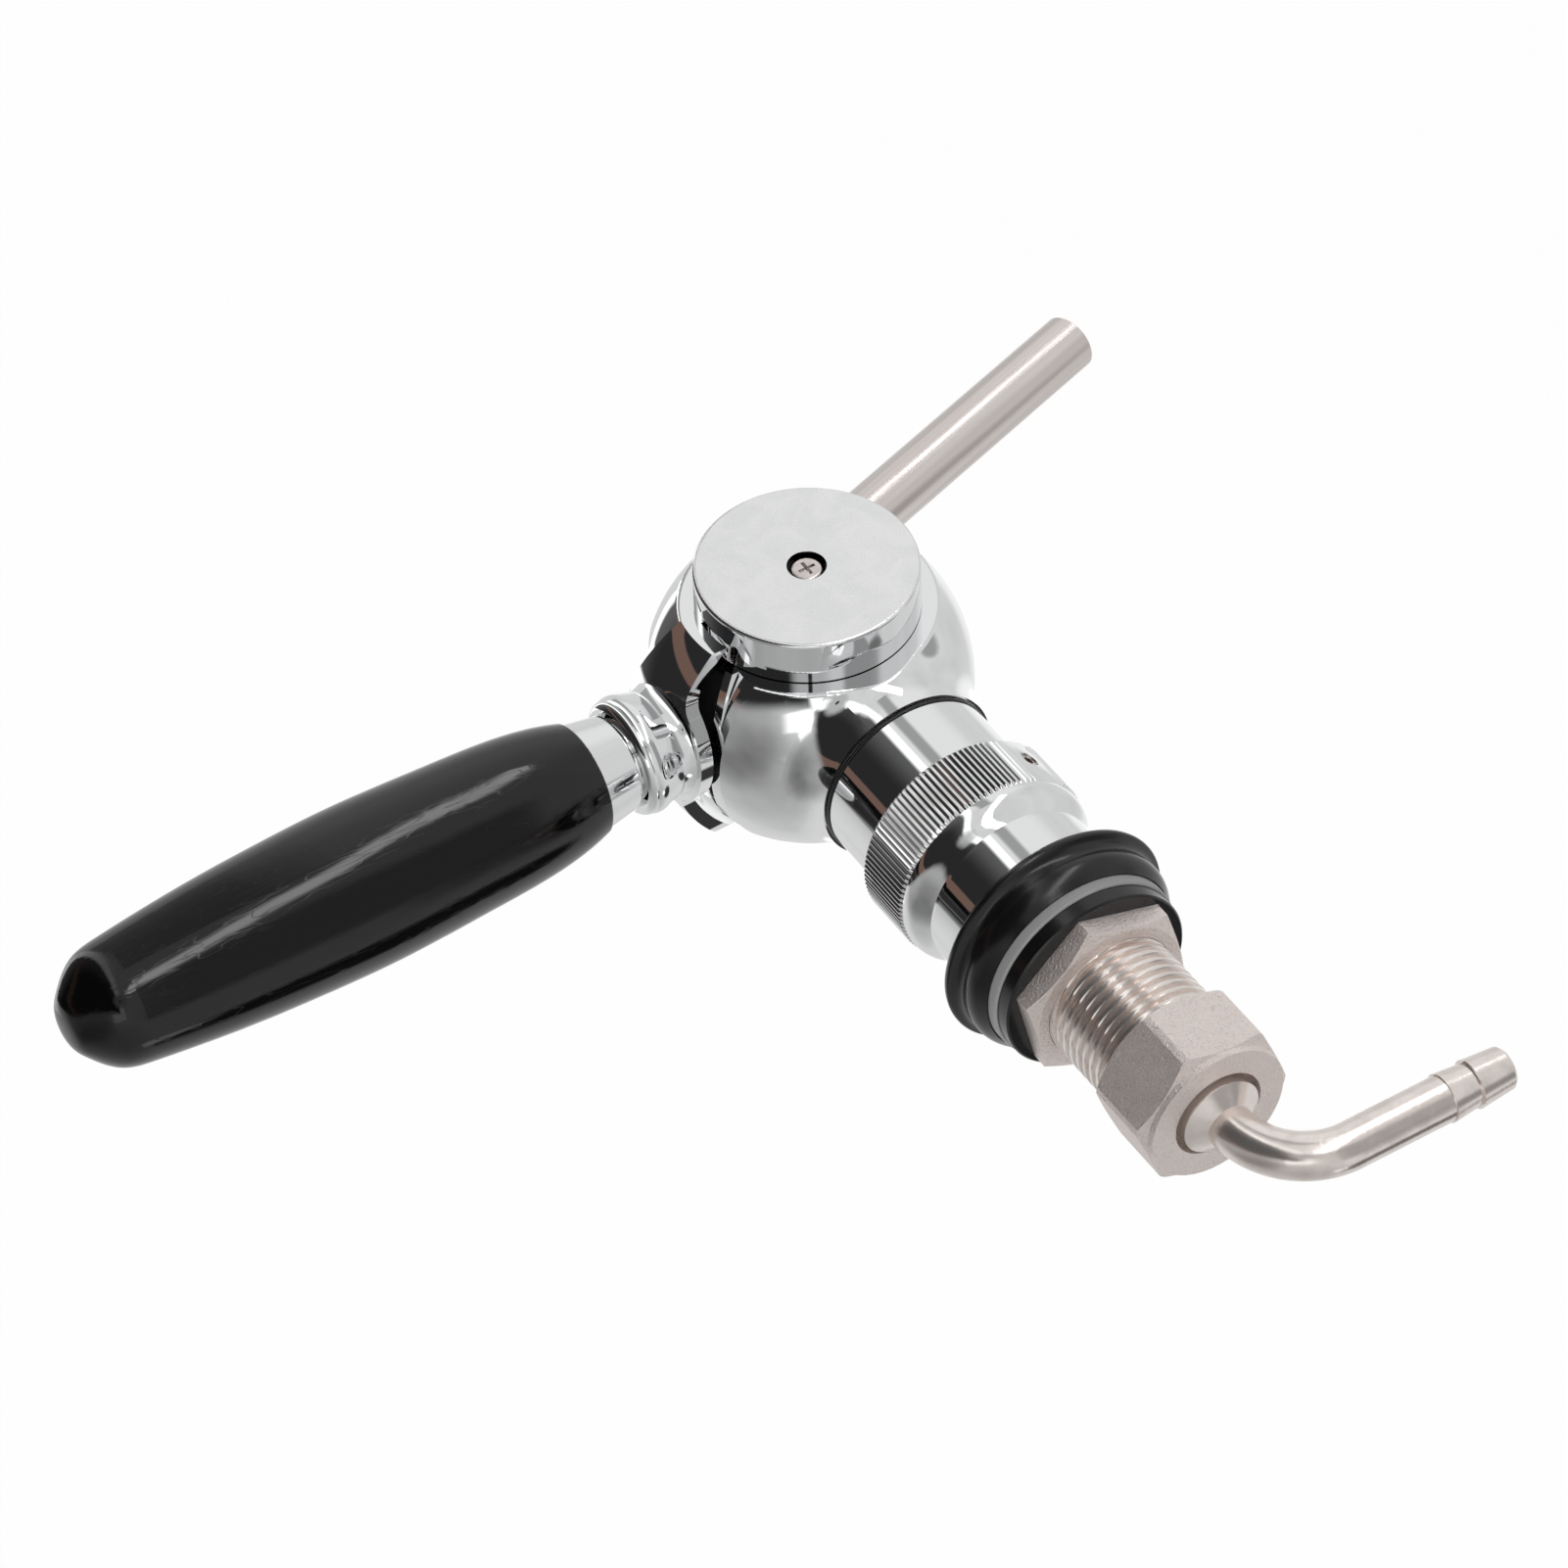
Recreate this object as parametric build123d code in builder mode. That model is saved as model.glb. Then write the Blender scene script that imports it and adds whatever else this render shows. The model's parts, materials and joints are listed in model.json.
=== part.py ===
from build123d import *
import os
from math import asin, atan2, cos, degrees, radians, sin, sqrt

# A ball-bodied beer tap with a flow-control ring, drawn as it stands in use:
# the shank runs along +Y into the wall, the handle stands up along +Z, the spout points down.
# The origin is on the shank axis, at the face where the wall flange and the washer meet.

# Ball body, centred on the lever's pivot
pivot_reach = 76.5        # pivot in front of the wall seat
pivot_rise = 1.0          # pivot above the shank axis
ball_r = 27.1
shell_wall = 2.2          # metal between the ball's skin and the shutter's channel
seat_half = 17.0          # half the width across the two flat cap seats
seat_round = 1.0
neck_inset = 1.1          # neck inside the two seats
plug_bore_r = 14.06
neck_blend_share = 2.02   # blend radius over the straight length of the neck

# Round side caps
cap_r = 18.4
cap_height = 8.1          # on the side with the tall cap
cap_height_right = 3.0
cap_lift = 0.2            # running gap between a cap and its seat
cap_round = 0.6
spigot_r = 13.0
screw_recess_r = 3.25
screw_recess_depth = 1.6
screw_recess_depth_right = 1.2
screw_head_r = 2.65
screw_head_height = 1.0
screw_shank_r = 1.5
screw_reach = 4.0         # thread engaged in the plug

# Valve plug and its passage
running_gap = 0.06
plug_half = 14.6
passage_r = 3.5
open_swing = 38.0         # lever forward to fully open
back_swing = 5.0          # lever back from rest
ring_section = 1.2        # thickness of the plug's O-rings
ring_inset = 1.6          # O-ring groove's edge to the plug's end

# Window, rim and land on top of the ball
land_edge = 11.5          # turned land's outer edge, to each side of the lever
land_depth = 2.55         # land below the ball's skin, turned about the Y direction
rim_wall = 1.3
rim_drop = 0.7            # rim's crest below the ball's skin
rim_mid = 10.4            # rim's outer face at the middle of the ball
rim_end = 7.4             # rim's outer face at the cap seats
slot_half = 6.0           # half width of the forward slot
slot_end = 51.0           # forward end of the slot, from the vertical

# Shutter that closes the slot from inside
shutter_thick = 2.1
shutter_gap = 0.3
shutter_inset = 2.4       # shutter short of the plug at its two ends
channel_margin = 1.2

# Lever: stud, hood, neck and ferrule
lever_shift = -1.9        # handle's centre line, towards the screw side
lever_lean = 0.9          # handle's lean back at rest, degrees
stud_r = 4.0
hood_gap = 0.6
hood_thick = 2.1
hub_r = 11.0
arm_half = 4.7
arm_blend = 5.0
arm_end_left = 20.6
arm_end_right = 22.3
arm_end_round = 4.2
arm_gap = 0.4             # hood's arms to the cap's wall
neck_waist_r = 9.2
neck_waist_at = 29.6
bead_edge_at = 33.0
bead_edge_r = 10.1
bead_r = 10.3
bead_at = 34.2
bead_top_at = 36.8
bead_top_r = 9.0
ferrule_low_r = 8.2
ferrule_high_r = 9.3
grip_start = 43.8

# Handle grip
grip_rim_r = 9.8
grip_shoulder_r = 12.1
grip_max_r = 13.4
grip_taper_r = 11.4
grip_nose_r = 10.6        # where the rounded nose starts
grip_end = 139.2
core_r = 5.0              # threaded core of the ferrule inside the grip
core_end = 76.0

# Spout
spout_lean = 18.0         # tilt forward of straight down
spout_offset = 16.4       # spout axis in front of the pivot
spout_r = 5.0
spout_wall = 0.8
spout_top = 18.0          # along the spout, from the point nearest the pivot
spout_end = 89.5
duct_top = 10.2
duct_r = 3.9
nose_r = 7.6
nose_end = 32.0
nose_lip = 1.2
spout_seal_section = 1.4
spout_seal_at = 27.0

# Collars, flow ring and shank, by their distance in front of the wall seat
seam_at = 48.7
seam_seal = 0.8
collar_r = 15.28
ring_front = 35.2
ring_back = 24.2
side_gap = 0.1
knurl_r = 17.6
knurl_depth = 0.45
knurl_count = 96
pad_angle = -141.0        # smooth pad and set screw, about Y from +X towards +Z
pad_span = 22.0
grub_r = 1.6
grub_length = 1.9
grub_socket = 1.6
grub_at = 30.2
lip_r = 17.25
lip_round_at = 22.0
lip_end = 19.0
sleeve_r = 13.4
throat_r = 8.2
throat_back = 17.2        # body chamber's end, behind the pivot
socket_depth = 3.9
socket_gap = 0.05
insert_r = 11.4
sleeve_back = 14.0
flange_front = 9.2
shank_bore_r = 6.6

# Compensator
cone_big_r = 7.5
cone_nose_r = 2.7
cone_shoulder = 33.6
cone_front = 47.0
cone_back = 20.0
seat_taper_start = 36.0
seat_taper_end = 47.0
seat_taper_r = 4.2
cone_travel = 3.0
cone_ring_section = 1.2
pin_r = 1.2
ring_half_turn = 45.0     # flow ring's turn each way

# Wall fixing
flange_r = 20.25
flange_rim_at = 6.9
grey_washer_r = 17.05
grey_washer_thick = 1.9
gasket_r = 16.6
gasket_thick = 2.8
thread_r = 11.455         # G 5/8 pipe thread, outside
thread_gap = 0.05
hole_clearance = 0.35
lock_flats = 27.0
lock_thick = 4.0
lock_corner = 12.6        # turn of the nut's corners
shank_end = 30.6
coupling_flats = 25.0
coupling_front = 24.0
coupling_back = 38.1
coupling_corner = 21.0
coupling_corner_r = 14.1
coupling_hole_r = 7.9

# Tailpiece
tail_gasket_thick = 1.0
tail_gasket_r = 10.6
tail_flange_r = 10.8
tail_flange_thick = 3.4
tail_collar_r = 6.9
tail_collar_end = 39.0
tail_tube_r = 3.9
tail_bore_r = 2.9
tail_bend_r = 13.2
tail_leg_y = 54.7
tail_drop = 42.2
barb_first = 30.4
barb_second = 35.6
barb_rise = 0.25

os.makedirs("parts", exist_ok=True)

pivot = Vector(0, -pivot_reach, pivot_rise)
pivot_x = Axis(pivot, (1, 0, 0))
pivot_y = Axis(pivot, (0, 1, 0))
lever_foot = pivot + Vector(lever_shift, 0, 0)
lever_dir = Vector(0, sin(radians(lever_lean)), cos(radians(lever_lean)))
lever_axis = Axis(lever_foot, lever_dir)
lever_plane = Plane(lever_foot, x_dir=(1, 0, 0), z_dir=lever_dir)
hood_plane = Plane(pivot, x_dir=(1, 0, 0), z_dir=(0, 0, 1))
lever_section = Plane(lever_foot, x_dir=(1, 0, 0), z_dir=(0, -lever_dir.Z, lever_dir.Y))
side_plane = Plane(pivot, x_dir=(0, 1, 0), z_dir=(1, 0, 0))

spout_dir = Vector(0, -sin(radians(spout_lean)), -cos(radians(spout_lean)))
spout_foot = pivot + Vector(0, -cos(radians(spout_lean)), sin(radians(spout_lean))) * spout_offset
spout_plane = Plane(spout_foot, x_dir=(1, 0, 0), z_dir=spout_dir)

neck_r = seat_half - neck_inset
neck_face = seam_at + seam_seal / 2
seam_back = seam_at - seam_seal / 2
neck_blend = neck_blend_share * (pivot_reach - neck_face - sqrt(ball_r**2 - neck_r**2))
land_r = ball_r - land_depth
rim_r = ball_r - rim_drop
hood_inner = ball_r + hood_gap
hood_outer = hood_inner + hood_thick
grip_length = grip_end - grip_start

channel_outer = ball_r - shell_wall
shutter_outer = channel_outer - shutter_gap
shutter_inner = shutter_outer - shutter_thick
channel_inner = shutter_inner - shutter_gap
shutter_half = sqrt(channel_inner**2 - plug_bore_r**2) - shutter_inset
channel_half = shutter_half + shutter_gap
rim_inner_mid = rim_mid - rim_wall
rim_inner_end = rim_end - rim_wall
window_back = degrees(atan2(rim_inner_mid, channel_outer))
stud_angle = degrees(asin(stud_r / plug_bore_r)) + lever_lean
shutter_front = slot_end + back_swing + channel_margin
shutter_back = window_back + open_swing + channel_margin
channel_front = shutter_front + open_swing + channel_margin / 2
channel_back = shutter_back + back_swing + channel_margin / 2


def sector(plane, start, end, reach):
    """A wedge of a disc in the side view, by angles from the vertical towards the front."""
    def at(angle):
        return (-reach * sin(radians(angle)), reach * cos(radians(angle)))

    with BuildSketch(plane) as wedge:
        with BuildLine():
            Line((0, 0), at(start))
            ThreePointArc(at(start), at((start + end) / 2), at(end))
            Line(at(end), (0, 0))
        make_face()
    return wedge.sketch


def hexagon(plane, flats, corner):
    """A nut's outline, with one corner at the given angle from +X towards +Z."""
    with BuildSketch(plane) as outline:
        RegularPolygon(radius=flats / 2, side_count=6, major_radius=False, rotation=-corner)
    return outline.sketch


# Shutter's channel inside the ball, and the slot that the lever's stud needs through the core
with BuildPart() as channel:
    Sphere(channel_outer)
    Sphere(channel_inner, mode=Mode.SUBTRACT)
    with BuildSketch(Plane.YZ.offset(-channel_half)):
        add(sector(Plane.XY, -channel_back, channel_front, 2 * ball_r))
    extrude(amount=2 * channel_half, mode=Mode.INTERSECT)

with BuildPart() as stud_slot:
    with BuildSketch(Plane.YZ.offset(lever_shift - slot_half)):
        add(sector(Plane.XY, -back_swing - stud_angle - 1, open_swing + stud_angle + 1, channel_inner + 1))
    extrude(amount=2 * slot_half)
    with BuildSketch(Plane.YZ.offset(lever_shift - slot_half)):
        add(sector(Plane.XY, 0, slot_end, 2 * ball_r))
    extrude(amount=2 * slot_half)

# Window through the ball's skin above the channel, seen from above as a lens
with BuildPart() as window:
    with BuildSketch(Plane.XY.offset(channel_inner * cos(radians(window_back)) - 4)):
        with BuildLine():
            ThreePointArc((-seat_half - 4, rim_inner_end - 2), (0, rim_inner_mid), (seat_half + 4, rim_inner_end - 2))
            Line((seat_half + 4, rim_inner_end - 2), (seat_half + 4, 2 - rim_inner_end))
            ThreePointArc((seat_half + 4, 2 - rim_inner_end), (0, -rim_inner_mid), (-seat_half - 4, 2 - rim_inner_end))
            Line((-seat_half - 4, 2 - rim_inner_end), (-seat_half - 4, rim_inner_end - 2))
        make_face()
    extrude(amount=ball_r)
    Sphere(channel_outer - shutter_gap, mode=Mode.SUBTRACT)

# Relief turned round the window, outside its upstanding rim
with BuildPart() as relief:
    with BuildSketch(Plane.XZ.offset(-land_edge)):
        Circle(ball_r + 4)
        Circle(land_r, mode=Mode.SUBTRACT)
        Rectangle(2 * (ball_r + 4), ball_r + 4, align=(Align.CENTER, Align.MAX), mode=Mode.SUBTRACT)
    extrude(amount=2 * land_edge)
    with BuildSketch(Plane.XY):
        with BuildLine():
            ThreePointArc((-seat_half - 4, rim_end - 2), (0, rim_mid), (seat_half + 4, rim_end - 2))
            Line((seat_half + 4, rim_end - 2), (seat_half + 4, 2 - rim_end))
            ThreePointArc((seat_half + 4, 2 - rim_end), (0, -rim_mid), (-seat_half - 4, 2 - rim_end))
            Line((-seat_half - 4, 2 - rim_end), (-seat_half - 4, rim_end - 2))
        make_face()
    extrude(amount=2 * ball_r, mode=Mode.SUBTRACT)
    with BuildSketch(Plane.XY.offset(2)):
        Rectangle(2 * ball_r, ball_r, align=(Align.CENTER, Align.MAX))
    extrude(amount=2 * ball_r, mode=Mode.SUBTRACT)

# Rim's crest, a little below the ball's skin
with BuildPart() as rim_trim:
    Sphere(ball_r + 4)
    Sphere(rim_r, mode=Mode.SUBTRACT)
    with BuildSketch(Plane.XY.offset(land_r / 2)):
        Rectangle(3 * ball_r, land_edge, align=(Align.CENTER, Align.MIN))
    extrude(amount=2 * ball_r, mode=Mode.INTERSECT)

# Planes of the inlet, the outlet port and its reach to the spout
inlet_plane = Plane(pivot, x_dir=(1, 0, 0), z_dir=(0, -1, 0))
outlet_angle = 74.0 + open_swing
outlet_plane = Plane(pivot, x_dir=(1, 0, 0), z_dir=(0, -sin(radians(outlet_angle)), cos(radians(outlet_angle))))
outlet_reach = 21.4
port_r = 3.6
seal_back = 16.2
seal_r = 6.0
spout_gap = 0.02
inlet_angle = -90.0
fixed_gap = 0.02          # between pieces of one body that only touch
screw_gap = 0.03
ring_width = ring_section + 0.2
ring_centre = plug_half - ring_inset - ring_width / 2
ring_floor_r = plug_bore_r - 0.16 - ring_section
cap_face = seat_half + cap_lift + cap_height
cap_face_right = seat_half + cap_lift + cap_height_right
screw_seat = cap_face - screw_recess_depth
screw_seat_right = cap_face_right - screw_recess_depth_right
stud_foot = 8.2
stud_top = 54.0

# Planes and sizes of the flow control
cone_ring_at = 23.0
pin_angle = -45.0
pin_clearance = 0.35
pin_tip = 14.6
relief_lip = 0.9
relief_r = 15.0
grub_top = 17.1
pin_at = (ring_front + ring_back) / 2


def ring_plane(angle, reach):
    """A plane across a radius of the ring, its x along the shank."""
    out = Vector(cos(radians(angle)), 0, sin(radians(angle)))
    return Plane((0, -reach, 0), x_dir=(0, 1, 0), z_dir=out)


pin_plane = ring_plane(pin_angle, pin_at)
grub_plane = ring_plane(pad_angle, grub_at)

# Knurl's outline: straight ridges, with a smooth arc for the pad
knurl_points = []
for step in range(2 * knurl_count):
    angle = 180 * step / knurl_count
    off_pad = abs((angle - pad_angle + 180) % 360 - 180)
    radius = knurl_r - knurl_depth * (step % 2)
    if off_pad < pad_span / 2:
        radius = knurl_r - knurl_depth / 2
    knurl_points.append((radius * cos(radians(angle)), radius * sin(radians(angle))))

lock_seat = grey_washer_thick + gasket_thick
tail_seat = shank_end + tail_gasket_thick + tail_flange_thick

# Body: the ball, its neck towards the shank and its nose round the spout
with BuildPart() as faucet_body:
    with Locations(pivot):
        Sphere(ball_r)
    with BuildSketch(Plane.XZ.offset(neck_face)):
        Circle(neck_r)
    extrude(amount=pivot_reach - neck_face)
    fillet(faucet_body.edges().filter_by(GeomType.BSPLINE), radius=neck_blend)
    split(bisect_by=Plane.YZ.offset(seat_half), keep=Keep.BOTTOM)
    split(bisect_by=Plane.YZ.offset(-seat_half), keep=Keep.TOP)
    fillet(faucet_body.edges().group_by(Axis.X)[0] + faucet_body.edges().group_by(Axis.X)[-1], radius=seat_round)
    with BuildSketch(spout_plane.offset(spout_top)):
        Circle(nose_r)
    extrude(amount=nose_end - spout_top)
    chamfer(faucet_body.edges().group_by(Axis(spout_foot, spout_dir))[-1], nose_lip)
    with Locations(pivot):
        add(relief.part, mode=Mode.SUBTRACT)
        add(rim_trim.part, mode=Mode.SUBTRACT)
        add(window.part, mode=Mode.SUBTRACT)
        add(channel.part, mode=Mode.SUBTRACT)
        add(stud_slot.part, mode=Mode.SUBTRACT)
    with BuildSketch(side_plane.offset(-ball_r)):
        Circle(plug_bore_r)
    extrude(amount=2 * ball_r, mode=Mode.SUBTRACT)
    with BuildSketch(Plane.XZ.offset(neck_face)):
        Circle(insert_r + socket_gap)
    extrude(amount=socket_depth, mode=Mode.SUBTRACT)
    with BuildSketch(Plane.XZ.offset(neck_face)):
        Circle(throat_r)
    extrude(amount=pivot_reach - throat_back - neck_face, mode=Mode.SUBTRACT)
    with BuildSketch(inlet_plane.offset(-throat_back - 1)):
        Circle(port_r)
    extrude(amount=throat_back + 1, mode=Mode.SUBTRACT)
    with BuildSketch(inlet_plane.offset(-seal_back)):
        Circle(seal_r + socket_gap)
    extrude(amount=seal_back, mode=Mode.SUBTRACT)
    with BuildSketch(outlet_plane):
        Circle(passage_r)
    extrude(amount=outlet_reach, mode=Mode.SUBTRACT)
    with BuildSketch(spout_plane.offset(duct_top)):
        Circle(duct_r)
    extrude(amount=spout_top - duct_top + 1, mode=Mode.SUBTRACT)
    with BuildSketch(spout_plane.offset(spout_top)):
        Circle(spout_r + spout_gap)
    extrude(amount=nose_end - spout_top + 1, mode=Mode.SUBTRACT)
    with BuildSketch(spout_plane.offset(spout_seal_at - spout_seal_section / 2 - 0.1)):
        Circle(spout_r + spout_seal_section)
    extrude(amount=spout_seal_section + 0.2, mode=Mode.SUBTRACT)
faucet_body.part.label = "faucet_body"
export_step(faucet_body.part, "parts/faucet_body.step")

# Side cap with its spigot
with BuildPart() as side_cap_left:
    with BuildSketch(side_plane.offset(-seat_half - cap_lift)):
        Circle(cap_r)
    extrude(amount=-cap_height)
    fillet(side_cap_left.edges().group_by(Axis.X)[0], radius=cap_round)
    with BuildSketch(side_plane.offset(-plug_half)):
        Circle(spigot_r)
    extrude(amount=plug_half - seat_half - cap_lift - 0.5)
    with BuildSketch(side_plane.offset(-cap_face)):
        Circle(screw_recess_r)
    extrude(amount=screw_recess_depth, mode=Mode.SUBTRACT)
    with BuildSketch(side_plane.offset(-cap_face)):
        Circle(screw_shank_r + screw_gap)
    extrude(amount=cap_face, mode=Mode.SUBTRACT)
side_cap_left.part.label = "side_cap_left"
export_step(side_cap_left.part, "parts/side_cap_left.step")

# Thin cap on the far side
with BuildPart() as side_cap_right:
    with BuildSketch(side_plane.offset(seat_half + cap_lift)):
        Circle(cap_r)
    extrude(amount=cap_height_right)
    fillet(side_cap_right.edges().group_by(Axis.X)[-1], radius=cap_round)
    with BuildSketch(side_plane.offset(plug_half)):
        Circle(spigot_r)
    extrude(amount=seat_half + cap_lift + 0.5 - plug_half)
    with BuildSketch(side_plane.offset(cap_face_right)):
        Circle(screw_recess_r)
    extrude(amount=-screw_recess_depth_right, mode=Mode.SUBTRACT)
    with BuildSketch(side_plane.offset(cap_face_right)):
        Circle(screw_shank_r + screw_gap)
    extrude(amount=-cap_face_right, mode=Mode.SUBTRACT)
side_cap_right.part.label = "side_cap_right"
export_step(side_cap_right.part, "parts/side_cap_right.step")

# Cap screws with a crossed recess
with BuildPart() as cap_screws:
    for side, seat in ((-1, screw_seat), (1, screw_seat_right)):
        with BuildSketch(side_plane.offset(side * seat)):
            Circle(screw_head_r)
        extrude(amount=side * screw_head_height)
        with BuildSketch(side_plane.offset(side * seat)):
            Circle(screw_shank_r)
        extrude(amount=-side * (seat - plug_half + screw_reach))
        with BuildSketch(side_plane.offset(side * (seat + screw_head_height))):
            Rectangle(3.0, 0.6)
            Rectangle(0.6, 3.0)
        extrude(amount=-side * 0.7, mode=Mode.SUBTRACT)
    fillet(
        cap_screws.edges().filter_by(GeomType.CIRCLE).filter_by(
            lambda e: e.radius > screw_head_r - 0.1 and abs(e.center().X) > screw_seat_right + screw_head_height / 2
            and abs(abs(e.center().X) - screw_seat) > screw_head_height / 2
        ),
        radius=0.5,
    )
cap_screws.part.label = "cap_screws"
export_step(cap_screws.part, "parts/cap_screws.step")

# Valve plug: two legs of the passage meet in its middle
with BuildPart() as valve_plug:
    with BuildSketch(side_plane.offset(-plug_half)):
        Circle(plug_bore_r - running_gap)
    extrude(amount=2 * plug_half)
    chamfer(valve_plug.edges().filter_by(GeomType.CIRCLE), 0.3)
    for side in (-1, 1):
        with BuildSketch(side_plane.offset(side * ring_centre - ring_width / 2)):
            Circle(plug_bore_r + 1)
            Circle(ring_floor_r, mode=Mode.SUBTRACT)
        extrude(amount=ring_width, mode=Mode.SUBTRACT)
    for angle in (outlet_angle - open_swing, inlet_angle - open_swing):
        with BuildSketch(Plane(pivot, x_dir=(1, 0, 0), z_dir=(0, -sin(radians(angle)), cos(radians(angle))))):
            Circle(passage_r)
        extrude(amount=plug_bore_r + 1, mode=Mode.SUBTRACT)
    with Locations(pivot):
        Sphere(passage_r, mode=Mode.SUBTRACT)
    with BuildSketch(lever_plane.offset(stud_foot - 0.5)):
        Circle(stud_r + fixed_gap)
    extrude(amount=plug_bore_r, mode=Mode.SUBTRACT)
    for side in (-1, 1):
        with BuildSketch(side_plane.offset(side * plug_half)):
            Circle(screw_shank_r + screw_gap)
        extrude(amount=-side * (screw_reach + 0.5), mode=Mode.SUBTRACT)
valve_plug.part.label = "valve_plug"
export_step(valve_plug.part, "parts/valve_plug.step")

with BuildPart() as plug_o_rings:
    for side in (-1, 1):
        with Locations(Plane(pivot + Vector(side * ring_centre, 0, 0), x_dir=(0, 1, 0), z_dir=(1, 0, 0))):
            Torus(ring_floor_r + ring_section / 2, ring_section / 2)
plug_o_rings.part.label = "plug_o_rings"
export_step(plug_o_rings.part, "parts/plug_o_rings.step")

# Inlet seal, hollowed to the plug
with BuildPart() as inlet_seal:
    with BuildSketch(inlet_plane.offset(-seal_back)):
        Circle(seal_r)
        Circle(port_r, mode=Mode.SUBTRACT)
    extrude(amount=seal_back)
    with BuildSketch(side_plane.offset(-ball_r)):
        Circle(plug_bore_r)
    extrude(amount=2 * ball_r, mode=Mode.SUBTRACT)
inlet_seal.part.label = "inlet_seal"
export_step(inlet_seal.part, "parts/inlet_seal.step")

# Shutter that follows the lever inside the ball
with BuildPart() as slot_shutter:
    with Locations(pivot):
        Sphere(shutter_outer)
        Sphere(shutter_inner, mode=Mode.SUBTRACT)
    with BuildSketch(side_plane.offset(-shutter_half)):
        add(sector(Plane.XY, -shutter_back, shutter_front, 2 * ball_r))
    extrude(amount=2 * shutter_half, mode=Mode.INTERSECT)
    with BuildSketch(lever_plane):
        Circle(stud_r + fixed_gap)
    extrude(amount=ball_r, mode=Mode.SUBTRACT)
slot_shutter.part.label = "slot_shutter"
export_step(slot_shutter.part, "parts/slot_shutter.step")

# Hood's outline from above: two arms that run into a round hub, flared towards the front
with BuildSketch(hood_plane) as hood_back:
    with Locations(((arm_end_right - arm_end_left) / 2, 0)):
        Rectangle(arm_end_left + arm_end_right, 2 * arm_half)
    with Locations((lever_shift, 0)):
        Circle(hub_r)
    fillet(
        hood_back.vertices().filter_by(lambda v: abs(v.X - lever_shift) < hub_r and v.Y > pivot.Y), radius=arm_blend
    )
    fillet(hood_back.vertices().filter_by(lambda v: v.X > arm_end_right - 0.1), radius=arm_end_round)

with BuildSketch(hood_plane) as hood_front:
    with Locations((lever_shift, 0)):
        Circle(hub_r)
    with Locations((-arm_end_left, 0)):
        Rectangle(arm_half, 2 * arm_half, align=(Align.MIN, Align.CENTER))
    with Locations((arm_end_right - arm_end_round, 0)):
        Rectangle(0.5, 2 * arm_half, align=(Align.MAX, Align.CENTER))
    make_hull()
    Rectangle(4 * hub_r, 2 * hub_r, align=(Align.CENTER, Align.MIN), mode=Mode.SUBTRACT)

# Hood, neck and bead of the lever
with BuildPart() as lever_hood:
    with Locations(pivot):
        Sphere(hood_outer)
        Sphere(hood_inner, mode=Mode.SUBTRACT)
    with BuildSketch(hood_plane):
        add(hood_back.sketch_local)
        add(hood_front.sketch_local)
    extrude(amount=2 * hood_outer, mode=Mode.INTERSECT)
    with BuildSketch(side_plane.offset(-hood_outer)):
        Circle(cap_r + arm_gap)
    extrude(amount=hood_outer, mode=Mode.SUBTRACT)
    with BuildSketch(lever_section):
        with BuildLine():
            Line((0, hood_inner + 1), (hub_r - 1.2, hood_inner + 0.2))
            ThreePointArc((hub_r - 1.2, hood_inner + 0.2), (neck_waist_r + 0.15, neck_waist_at - 0.4), (neck_waist_r, neck_waist_at + 0.5))
            Line((neck_waist_r, neck_waist_at + 0.5), (bead_edge_r, bead_edge_at))
            ThreePointArc((bead_edge_r, bead_edge_at), (bead_r, bead_at), (bead_edge_r - 0.1, bead_at + 1.2))
            ThreePointArc((bead_edge_r - 0.1, bead_at + 1.2), (bead_edge_r - 0.5, bead_top_at - 0.4), (bead_top_r, bead_top_at))
            Line((bead_top_r, bead_top_at), (0, bead_top_at))
            Line((0, bead_top_at), (0, hood_inner + 1))
        make_face()
    revolve(axis=lever_axis)
    with BuildSketch(lever_plane):
        Circle(stud_r + fixed_gap)
    extrude(amount=2 * hood_outer, mode=Mode.SUBTRACT)
lever_hood.part.label = "lever_hood"
export_step(lever_hood.part, "parts/lever_hood.step")

with BuildPart() as lever_stud:
    with BuildSketch(lever_plane.offset(stud_foot)):
        Circle(stud_r)
    extrude(amount=stud_top - stud_foot)
    chamfer(lever_stud.edges().filter_by(GeomType.CIRCLE), 0.5)
lever_stud.part.label = "lever_stud"
export_step(lever_stud.part, "parts/lever_stud.step")

# Ferrule, a turned cone whose core is set in the grip
with BuildPart() as ferrule:
    with BuildSketch(lever_section):
        with BuildLine():
            Polyline(
                (stud_r + fixed_gap, bead_top_at),
                (ferrule_low_r - 0.9, bead_top_at),
                (ferrule_low_r - 0.9, bead_top_at + 0.5),
                (ferrule_low_r, bead_top_at + 0.5),
                (ferrule_high_r, grip_start),
                (core_r, grip_start),
                (core_r, core_end),
                (stud_r + fixed_gap, core_end),
                close=True,
            )
        make_face()
    revolve(axis=lever_axis)
ferrule.part.label = "ferrule"
export_step(ferrule.part, "parts/ferrule.step")

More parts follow.
